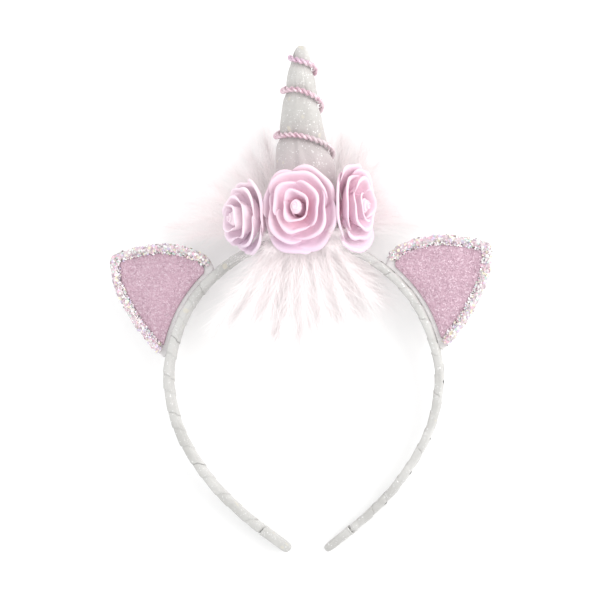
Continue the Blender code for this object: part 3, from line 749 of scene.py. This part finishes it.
def cushion(name, outline, side, rows):
    """A flat soft plate. Its rows run from the front's middle to the back's, and each gives the
    share of the way out, the inset and the depth."""
    ring = around_outline(outline, CUSHION_SIDES)
    middle = ring[:-1].mean(0)
    steps = np.arange(len(rows))

    def bend(u, v):
        at = np.rint(u * CUSHION_SIDES).astype(int)
        share, inset, depth = interpolate(v * steps[-1], steps, np.array(rows)).T
        out = ring[at] - middle
        far = np.linalg.norm(out, axis=1)
        place = middle + out * (share * (1 - inset / far))[:, None]
        return ear_points(side, place, depth)

    return bent_grid(name, CUSHION_SIDES, 3 * (len(rows) - 1), bend)


EAR_ROWS = [
    (0.0, 0.0, EAR_FACE), (0.5, 0.0, EAR_FACE), (0.9, 0.0, EAR_FACE), (1.0, 0.0009, EAR_FACE),
    (1.0, 0.0004, EAR_FACE + 0.0002), (1.0, 0.0001, EAR_FACE + 0.0006), (1.0, 0.0, 0.0),
    (1.0, 0.0001, 0.0009), (1.0, 0.0004, 0.0014), (1.0, 0.0009, 0.0016), (0.9, 0.0, 0.0018),
    (0.5, 0.0, 0.0019), (0.0, 0.0, 0.0019),
]
PANEL_ROWS = [
    (0.0, 0.0, PANEL_FACE - 0.0002), (0.3, 0.0, PANEL_FACE - 0.0002), (0.6, 0.0, PANEL_FACE - 0.00015),
    (0.85, 0.0, PANEL_FACE), (1.0, 0.0004, PANEL_FACE + 0.0001), (1.0, 0.0001, PANEL_FACE + 0.0004),
    (1.0, 0.0, PANEL_BACK - 0.0001), (1.0, 0.0004, PANEL_BACK), (0.0, 0.0, PANEL_BACK),
]
panel_edge = EDGE + PANEL_FROM_EDGE * INWARD
panel_edge = panel_edge[hoop_distance(panel_edge) > PANEL_FROM_HOOP + 0.0008]
panel_edge = panel_edge[edge_distance(panel_edge) > PANEL_FROM_EDGE - 0.00005]
panel_seat = hoop_side(PANEL_FROM_HOOP)
panel_seat = panel_seat[edge_distance(panel_seat) >= PANEL_FROM_EDGE]
PANEL_OUTLINE = np.vstack([panel_edge, panel_seat])
TRIM_LINE = smooth_line((EDGE + TRIM_FROM_EDGE * INWARD)[2:-2], 300)


def trim_strip(side):
    """Shape of the rounded cloth strip along an ear's free edge."""

    def bend(u, v):
        place, way = along_line(TRIM_LINE, v)
        inward = np.stack([way[:, 1], -way[:, 0]], 1)
        angle = 2 * np.pi * u
        ends = np.clip(np.minimum(v, 1 - v) * 40, 0, 1) ** 0.5
        across = STRIP_WIDTH / 2 * ends * np.cos(angle)
        depth = EAR_FACE - STRIP_GAP - STRIP_HEIGHT / 2 * (1 - np.sin(angle) * ends)
        return ear_points(side, place + across[:, None] * inward, depth)

    return bend


deselect()
bpy.ops.mesh.primitive_cylinder_add(vertices=6, radius=1, depth=0.12)
CHIP = bpy.context.object
CHIP.name = "chip"


def scatter_chips(name, base, places, outs, radii, tints, tilt):
    """Copies of the six-sided chip at places, facing outs but tipped at random, joined to base."""
    pieces = [base]
    for place, out, radius, tint in zip(places, outs, radii, tints):
        mesh = CHIP.data.copy()
        lean = Vector([dice.uniform(-tilt, tilt) for k in range(3)])
        facing = (Vector(out) + lean).to_track_quat("Z", "Y").to_matrix().to_4x4()
        turn = Matrix.Rotation(dice.uniform(0, math.pi), 4, "Z")
        mesh.transform(Matrix.Translation(place) @ facing @ turn @ Matrix.Scale(radius, 4))
        mark = mesh.attributes.new("tint", "FLOAT", "POINT")
        mark.data.foreach_set("value", np.full(len(mesh.vertices), tint, np.float32))
        obj = bpy.data.objects.new("chip", mesh)
        bpy.context.scene.collection.objects.link(obj)
        pieces.append(obj)
    return join(name, pieces)


def glitter_panel(side, suffix):
    """The padded panel with loose flakes over its face."""
    name = "glitter_panel_" + suffix
    base = cushion(name, PANEL_OUTLINE, side, PANEL_ROWS)
    ring = around_outline(PANEL_OUTLINE, 400)[:-1]
    heart = ring.mean(0)
    share = np.sqrt(rng.uniform(0, 0.94, PANEL_CHIPS))
    spots = heart + (ring[rng.integers(0, len(ring), PANEL_CHIPS)] - heart) * share[:, None]
    places = lay(ear_points(side, spots, np.full(PANEL_CHIPS, PANEL_FACE - PANEL_CHIP_LIFT)))
    outs = np.tile(-AXES[1], (PANEL_CHIPS, 1))
    radii = rng.uniform(*PANEL_CHIP_RADII, PANEL_CHIPS)
    tints = rng.uniform(0, 1, PANEL_CHIPS)
    return scatter_chips(name, base, places, outs, radii, tints, 0.35)


def sequin_trim(side, suffix):
    """The cloth strip under its sequins, with more of them over the seam to the panel."""
    name = "sequin_trim_" + suffix
    strip = bent_grid(name, 14, 260, trim_strip(side))
    along = rng.uniform(0.006, 0.994, TRIM_CHIPS)
    angle = rng.uniform(-0.05, 1.05, TRIM_CHIPS) * np.pi
    place, way = along_line(TRIM_LINE, along)
    inward = np.stack([way[:, 1], -way[:, 0]], 1)
    reach = rng.uniform(0.85, 1.12, TRIM_CHIPS)
    across = TRIM_WIDTH / 2 * np.cos(angle) * reach
    depth = EAR_FACE - 0.0004 - (TRIM_HEIGHT - 0.0002) * np.sin(angle) * reach * 0.95
    places = lay(ear_points(side, place + across[:, None] * inward, depth))
    outs = ear_points(side, np.cos(angle)[:, None] * inward, -np.sin(angle) * 1.2) @ AXES
    seam, way = along_line(TRIM_LINE, rng.uniform(0.02, 0.98, SEAM_CHIPS))
    inward = np.stack([way[:, 1], -way[:, 0]], 1)
    seam = seam + rng.uniform(*SEAM_INWARD, SEAM_CHIPS)[:, None] * inward
    seam = ear_points(side, seam, rng.uniform(*SEAM_DEPTHS, SEAM_CHIPS))
    places = np.vstack([places, lay(seam)])
    outs = np.vstack([outs, np.tile(-AXES[1], (SEAM_CHIPS, 1))])
    trim_radii = rng.uniform(*TRIM_CHIP_RADII, TRIM_CHIPS)
    seam_radii = rng.uniform(*SEAM_CHIP_RADII, SEAM_CHIPS)
    radii = np.concatenate([trim_radii, seam_radii])
    tints = rng.uniform(0, 1, TRIM_CHIPS + SEAM_CHIPS)
    return scatter_chips(name, strip, places, outs, radii, tints, 0.6)


ear_outline = np.vstack([EDGE, hoop_side(0.0003)])
for side, suffix in ((-1, "left"), (1, "right")):
    ear = cushion("ear_cloth_" + suffix, ear_outline, side, EAR_ROWS)
    dress(ear, EAR_CLOTH, "ear_cloth", "ear_back_" + suffix)
    dress(glitter_panel(side, suffix), GLITTER, "pink_glitter", "ear_panel_" + suffix)
    dress(sequin_trim(side, suffix), SEQUINS, "sequin_trim", "ear_trim_" + suffix)

# Horn and cord


def cord_height(turn):
    """Height of the cord's middle after so many turns from the top."""
    rows = np.array(CORD_LINE)
    before = np.vstack([rows[:1], rows[:-1]])
    after = np.vstack([rows[1:], rows[-1:]])
    slope = (after[:, 1] - before[:, 1]) / np.maximum(after[:, 0] - before[:, 0], 0.25)
    i = np.clip(np.searchsorted(rows[:, 0], turn, side="left") - 1, 0, len(rows) - 2)
    span = rows[i + 1, 0] - rows[i, 0]
    t = np.clip((turn - rows[i, 0]) / span, 0, 1)
    rise = (3 * t**2 - 2 * t**3) * (rows[i + 1, 1] - rows[i, 1])
    leave = (t - 2 * t**2 + t**3) * slope[i]
    arrive = (t**3 - t**2) * slope[i + 1]
    return rows[i, 1] + rise + span * (leave + arrive)


SKIN = smooth_line(HORN_PROFILE, 400)


def horn_surface(angle, height, draw=0.0):
    """Points of the horn's skin at an angle and a height, drawn in or out by draw."""
    radius = np.interp(height, SKIN[:, 0], SKIN[:, 1]) + draw
    middle = np.interp(height, SKIN[:, 0], SKIN[:, 2])
    return np.stack([middle + radius * np.cos(angle), HORN_FLATNESS * radius * np.sin(angle), height], -1)


def stuffed_horn(u, v):
    """The horn's skin, drawn in under the cord, with folds beside it and at the foot."""
    foot, top = HORN_PROFILE[0, 0], HORN_PROFILE[-1, 0]
    rise = np.clip(v * 1.04 - 0.02, 0, 1)
    height = foot + (top - foot) * rise**0.97
    angle = 2 * np.pi * u
    turn = (u + 0.5) % 1.0
    draw = np.zeros_like(u)
    pucker = np.zeros_like(u)
    for done in range(math.ceil(CORD_TURNS)):
        away = height - cord_height(np.minimum(turn + done, CORD_TURNS))
        on = (turn + done <= CORD_TURNS).astype(float)
        draw -= on * CINCH_DEPTH * np.exp(-(away / CINCH_REACH) ** 2)
        pucker += on * np.exp(-(away / PUCKER_REACH) ** 2)
    around = np.stack([np.cos(angle), np.sin(angle), height * 0], 1)
    wander = ripple(around + height[:, None] * np.array([0, 0, 30.0]), 0.35, 1.7)
    fold = np.sin(17 * angle + 3.5 * wander + 90 * height)
    fade = np.clip(height / 0.03, 0, 1) * np.clip((0.086 - height) / 0.01, 0, 1)
    draw += PUCKER_DEPTH * fold * pucker * fade
    draw += LUMP_DEPTH * ripple(around * 0.012 + height[:, None] * np.array([0, 0, 0.7]), 0.006, 5.2)
    near_foot = np.exp(-((height - FOOT_FOLD_HEIGHT) / 0.012) ** 2)
    in_front = np.clip(-np.sin(angle), 0, 1)
    draw += FOOT_FOLD_DEPTH * near_foot * np.sin(11 * angle + 2 * wander) * in_front
    points = horn_surface(angle, height, draw)
    closed = (v <= 0.004) | (v >= 0.996)
    middle = np.interp(height, SKIN[:, 0], SKIN[:, 2])
    points[closed] = np.stack([middle, 0 * middle, height], 1)[closed]
    return points


horn = bent_grid("stuffed_horn", HORN_COLUMNS, HORN_ROWS, stuffed_horn)
dress(horn, HORN_CLOTH, "horn_cloth", "horn")

cord_turns = np.linspace(0, CORD_TURNS, 900)
cord_angle = np.pi + 2 * np.pi * cord_turns
cord_up = np.full_like(cord_angle, CORD_UPWARD)
cord_way_out = unit(np.stack([np.cos(cord_angle), np.sin(cord_angle), cord_up], 1))
cord_skin = horn_surface(cord_angle, cord_height(cord_turns), -CINCH_DEPTH)
CORD = cord_skin + CORD_STANDOFF * cord_way_out
cord_run = run_along(CORD)
CORD_LENGTH = float(cord_run[-1])


def ply(start):
    """Shape of one of the cord's two plies. start is the angle at which it leaves the top end."""

    def bend(u, v):
        s = v * CORD_LENGTH
        place = interpolate(s, cord_run, CORD)
        along = unit(interpolate(s + 0.0004, cord_run, CORD) - interpolate(s - 0.0004, cord_run, CORD))
        across = unit(np.cross(along, interpolate(s, cord_run, cord_way_out)))
        out = np.cross(across, along)
        twist = 2 * np.pi * s / CORD_TWIST + start
        offset = CORD_RADIUS * (1 - PLY_SHARE)
        centre = place + offset * (np.cos(twist)[:, None] * out + np.sin(twist)[:, None] * across)
        ends = np.clip(np.minimum(v, 1 - v) * CORD_LENGTH / PLY_END, 0, 1) ** 0.5
        angle = 2 * np.pi * u + twist
        radius = (CORD_RADIUS * PLY_SHARE * ends)[:, None]
        return centre + radius * (np.cos(angle)[:, None] * out + np.sin(angle)[:, None] * across)

    return bend


plies = [bent_grid("ply", 14, 620, ply(start)) for start in (0.0, np.pi)]
cord = join("twisted_cord", plies)
dress(cord, CORD_THREADS, "twisted_cord", "horn_cord")

# Roses


def rose_points(rose, angle, wide, high, depth):
    """Points at an angle round a rose's leaning middle line and at depths from its back."""
    around = math.radians(rose.around)
    out = np.array([math.cos(around), math.sin(around), 0.0])
    sideways = np.array([-math.sin(around), math.cos(around), 0.0])
    skin = horn_surface(np.array([around]), np.array([rose.height - ROSE_SEAT_DROP]))[0]
    seat = skin + ROSE_GAP * out
    seat[2] = rose.height
    flat_x = wide * np.cos(angle) + rose.lean * depth
    flat_y = high * np.sin(angle) + rose.rise * depth
    return seat + np.stack([flat_x, flat_y, depth], 1) @ np.array([sideways, [0.0, 0.0, 1.0], out])


def finish_petal(obj, rims, thickness):
    """Marks how near each row is to the rim, and gives the satin its thickness."""
    columns = len(obj.data.vertices) // len(rims)
    mark = obj.data.attributes.new("rim", "FLOAT", "POINT")
    mark.data.foreach_set("value", np.repeat(rims, columns).astype(np.float32))
    apply_modifier(obj, "SOLIDIFY", thickness=thickness, offset=0.0)
    apply_modifier(obj, "SUBSURF", levels=1, render_levels=1)
    return obj


def petal(rose, row, number):
    """One petal of a row, each a little unlike the others."""
    middle = math.radians(rose.turn + row.turn + 360 * number / row.count + dice.uniform(-9, 9))
    half_span = math.radians(row.span * dice.uniform(0.9, 1.1)) / 2
    reach = dice.uniform(0.93, 1.04)
    wave = dice.uniform(0, 6)
    sink = dice.uniform(-0.05, 0.04)
    way = smooth_line(list(zip(row.reach, row.depth)), 60)

    def bend(u, v):
        across = 2 * u - 1
        along = v * (1 - row.roundness * across**4 - 0.02 * across**2)
        spread, depth = interpolate(along, np.linspace(0, 1, len(way)), way).T
        spread = spread * reach
        depth = (depth + sink * along) * rose.depth
        angle = middle + across * half_span * (PETAL_ROOT_SPAN + (1 - PETAL_ROOT_SPAN) * along)
        spread *= 1 + 0.05 * across + 0.11 * np.abs(np.sin(2 * angle)) * along
        where = np.stack([5 * across + wave, 4 * along, 0 * along + wave], 1)
        crumple = ripple(where, 2.4) * along
        spread += 0.075 * crumple + 0.03 * np.sin(2.2 * across * math.pi + wave) * along**3
        depth += along * (0.0012 * across - 0.0011 * across**2) + 0.0012 * crumple
        return rose_points(rose, angle, rose.half_width * spread, rose.half_height * spread, depth)

    obj = bent_grid("petal", 20, 16, bend, merge=False)
    return finish_petal(obj, np.linspace(0, PETAL_RIM, 17), PETAL_THICKNESS)


def rolled_bud(rose):
    """The rose's middle: a strip of satin rolled up round a filling."""

    def roll(u, v):
        radius = (BUD_START + BUD_GROWTH * u) * (1.05 - 0.5 * v**3)
        depth = rose.depth * (0.15 + (0.93 - 0.1 * u) * v)
        return rose_points(rose, 2 * np.pi * BUD_TURNS * u + 0.5, radius, radius * BUD_OVAL, depth)

    def filling(u, v):
        radius = FILLING_RADIUS * v
        depth = rose.depth - FILLING_DOME * v**2
        return rose_points(rose, 2 * np.pi * u, radius, radius * BUD_OVAL, depth)

    strip = bent_grid("bud", 60, 16, roll, merge=False)
    # painted highlight: the bud's strip and filling carry rim marks up to 1, which the satin paints
    # lightest
    strip = finish_petal(strip, np.linspace(0.2, 1.0, 17), BUD_THICKNESS)
    heart = bent_grid("bud", 24, 8, filling, merge=False)
    heart = finish_petal(heart, np.full(9, 1.0), FILLING_THICKNESS)
    return join("bud", [strip, heart])


for rose in ROSES:
    petals = [rolled_bud(rose)]
    for row in PETAL_ROWS:
        petals += [petal(rose, row, number) for number in range(row.count)]
    bloom = join("satin_" + rose.name, petals)
    dress(bloom, SATIN, "rose_satin", rose.name)

# Down


def ring_point(angle):
    """Middle of the cord that carries the down, round the horn's foot."""
    foot = HORN_PROFILE[0, 1]
    wide = foot + RING_GAP + RING_TUBE
    deep = HORN_FLATNESS * foot + RING_GAP + RING_TUBE
    across = HORN_PROFILE[0, 2] + wide * math.cos(angle)
    return np.array([across, deep * math.sin(angle), RING_HEIGHT - RING_DIP * math.sin(angle) ** 2])


REST_BACK = ring_point(math.pi / 2)
REST_DROP = REST_BACK[1] + RING_TUBE - HOOP_TIP_DEPTH / 2 - 0.0002
REST_SLOPE = REST_DROP / (REST_BACK[2] - HOOP_LINE[-1][1])


def floor_depth(height):
    """Y of the floor at a height along the horn."""
    return REST_BACK[1] + RING_TUBE + (height - REST_BACK[2]) * REST_SLOPE


def quill(direction_degrees, reach, side, lean_degrees, share, turn):
    """Root, middle, tip and heading of one plume."""
    direction = math.radians(direction_degrees + turn)
    hangs = direction_degrees > 180
    reach = reach * share
    if abs(direction_degrees + turn - 90) < BEHIND_HORN:
        lean_degrees = max(lean_degrees, BEHIND_HORN_LEAN)
    lean = math.radians(lean_degrees)
    plan = math.degrees(math.atan2(abs(math.sin(direction)), math.cos(direction)))
    plan = min(max(plan, ROOT_FROM_SIDE), 180 - ROOT_FROM_SIDE)
    root = ring_point(side * math.radians(plan))
    ahead = np.array([
        math.cos(direction) * math.cos(lean), side * math.sin(lean), math.sin(direction) * math.cos(lean)
    ])
    tip = np.array([0, 0, RING_HEIGHT]) + ahead * reach
    tip[1] = root[1] + side * reach * math.sin(lean)
    bulge = np.array([-ahead[0], side * 0.3, -0.5]) if hangs else np.array([0.0, 0.3, 0.6])
    middle = (root + tip) / 2 + LOCK_BULGE * reach * bulge
    return root, middle, tip, ahead


def short_quill(around_degrees, rise):
    """A short plume that fills the ring at an angle round it. rise is its slope up the horn."""
    around = math.radians(around_degrees)
    out = unit(np.array([math.cos(around), math.sin(around), rise]))
    root = ring_point(around)
    tip = root + SHORT_PLUME * out
    return root, (root + tip) / 2, tip, out


def plume_strands(name, quills):
    """Fine strands that fan out along each quill and stay clear of the floor."""
    count = len(quills) * STRANDS_PER_LOCK
    lock = np.repeat(np.arange(len(quills)), STRANDS_PER_LOCK)
    roots, middles, tips, ahead = (np.array([q[k] for q in quills])[lock] for k in range(4))
    t = rng.uniform(0, 1, count)[:, None] ** 0.9 * 0.86
    start = (1 - t) ** 2 * roots + 2 * t * (1 - t) * middles + t**2 * tips
    wide_way = unit(np.cross(ahead, np.array([0.0, 1.0, 0.0])))
    deep_way = np.cross(ahead, wide_way)
    fan = rng.uniform(0, 2 * np.pi, count)[:, None]
    flare = np.radians(rng.uniform(*STRAND_FLARES, count))[:, None] * (1 - 0.3 * t)
    sideways = np.cos(fan) * wide_way + 0.45 * np.sin(fan) * deep_way
    leaving = unit(np.cos(flare) * ahead + np.sin(flare) * sideways)
    reach = np.linalg.norm(tips - roots, axis=1, keepdims=True)
    length = rng.uniform(*STRAND_LENGTHS, count)[:, None] * np.clip(reach / 0.03, 0, 1)
    start = start + 0.0008 * rng.normal(size=(count, 3))
    wave_way = unit(np.cross(leaving, rng.normal(size=(count, 3))))
    wave = rng.uniform(*STRAND_WAVES, count)[:, None]
    phase = rng.uniform(0, 2 * np.pi, count)[:, None]
    facing = np.array([0.0, 1.0, 0.0]) + 0.35 * rng.normal(size=(count, 3))
    flat_way = unit(np.cross(leaving, facing))
    wide = rng.uniform(*STRAND_WIDTHS, count)[:, None]

    def bend(strand, edge, v):
        v = v[:, None]
        far = length[strand] * (leaving[strand] * (v - 0.35 * v**2) + ahead[strand] * 0.35 * v**2)
        sway = wave[strand] * np.sin(phase[strand] + 7 * v) * wave_way[strand] * v
        half = wide[strand] * (1 - 0.8 * v) * np.where(edge[:, None] == 0, -0.5, 0.5)
        points = start[strand] + far + sway + half * flat_way[strand]
        points[:, 1] = np.minimum(points[:, 1], floor_depth(points[:, 2]) - FLOOR_GAP)
        return points

    return strand_comb(name, count, bend)


locks = []
for side, lean, share, turn in DOWN_LAYERS:
    for direction, reach in DOWN_LOCKS:
        if side > 0 or abs(direction - 270) <= LOCK_FRONT_FAN:
            locks.append(quill(direction, reach, side, lean, share, turn))
locks += [short_quill(around, rise) for around in SHORT_FRONT for rise in (-0.6, 0.0)]
locks += [short_quill(around, 0.9) for around in SHORT_BACK]
third = math.ceil(len(locks) / 3)
for number in range(3):
    bunch = locks[number * third : (number + 1) * third]
    dress(plume_strands(f"down_{number + 1}", bunch), DOWN, "blush_down", "fur")

bpy.data.objects.remove(CHIP)

# Floor, light and camera

deselect()
bpy.ops.mesh.primitive_plane_add(size=4, location=(0, 0, 0))
floor = bpy.context.object
floor.name = "floor"
paper = Finish("pale_floor", Roughness=0.9)
paper.wear(Base_Color=paper.mix(paper.noise(3) * 0.3, (0.975, 0.975, 0.975), (0.96, 0.96, 0.96)))
floor.data.materials.append(paper.material)

world = bpy.context.scene.world or bpy.data.worlds.new("World")
bpy.context.scene.world = world
world.use_nodes = True
backdrop = world.node_tree.nodes["Background"]
backdrop.inputs["Color"].default_value = (1.0, 1.0, 1.0, 1.0)
backdrop.inputs["Strength"].default_value = 1.0

CAMERA_DISTANCE = 1.0
CAMERA_LENS = 130.3
CAMERA_YAW = math.radians(8.7)
CAMERA_ROLL = math.radians(-1.65)
CAMERA_AIM = (-0.0003, 0.0, -0.02775)
LIGHT_AIM = (0, 0, -0.03)


def soft_light(name, place, size, power, colour):
    light = bpy.data.lights.new(name, "AREA")
    light.size = size
    light.energy = power
    light.color = colour
    lamp = bpy.data.objects.new(name, light)
    bpy.context.scene.collection.objects.link(lamp)
    lamp.location = lay(place)
    lamp.rotation_mode = "QUATERNION"
    lamp.rotation_quaternion = (Vector(lay(LIGHT_AIM)) - lamp.location).to_track_quat("-Z", "Y")


soft_light("key", (0.95, -0.60, 0.30), 1.0, 9.0, (1.0, 0.99, 0.97))
soft_light("fill", (-0.6, -0.6, 0.0), 0.8, 1.2, (0.97, 0.98, 1.0))

side_way = np.array([math.cos(CAMERA_YAW), math.sin(CAMERA_YAW), 0.0])
toward = np.array([math.sin(CAMERA_YAW), -math.cos(CAMERA_YAW), 0.0])
upward = np.array([0.0, 0.0, 1.0])
camera_x = math.cos(CAMERA_ROLL) * side_way + math.sin(CAMERA_ROLL) * upward
camera_y = -math.sin(CAMERA_ROLL) * side_way + math.cos(CAMERA_ROLL) * upward
lens = bpy.data.cameras.new("camera")
lens.lens = CAMERA_LENS
lens.sensor_width = 36
camera = bpy.data.objects.new("camera", lens)
bpy.context.scene.collection.objects.link(camera)
turned = Matrix([camera_x @ AXES, camera_y @ AXES, toward @ AXES]).transposed().to_4x4()
camera.matrix_world = Matrix.Translation(lay(np.array(CAMERA_AIM) + CAMERA_DISTANCE * toward)) @ turned
bpy.context.scene.camera = camera
bpy.context.scene.view_settings.view_transform = "Standard"
bpy.context.scene.view_settings.look = "None"
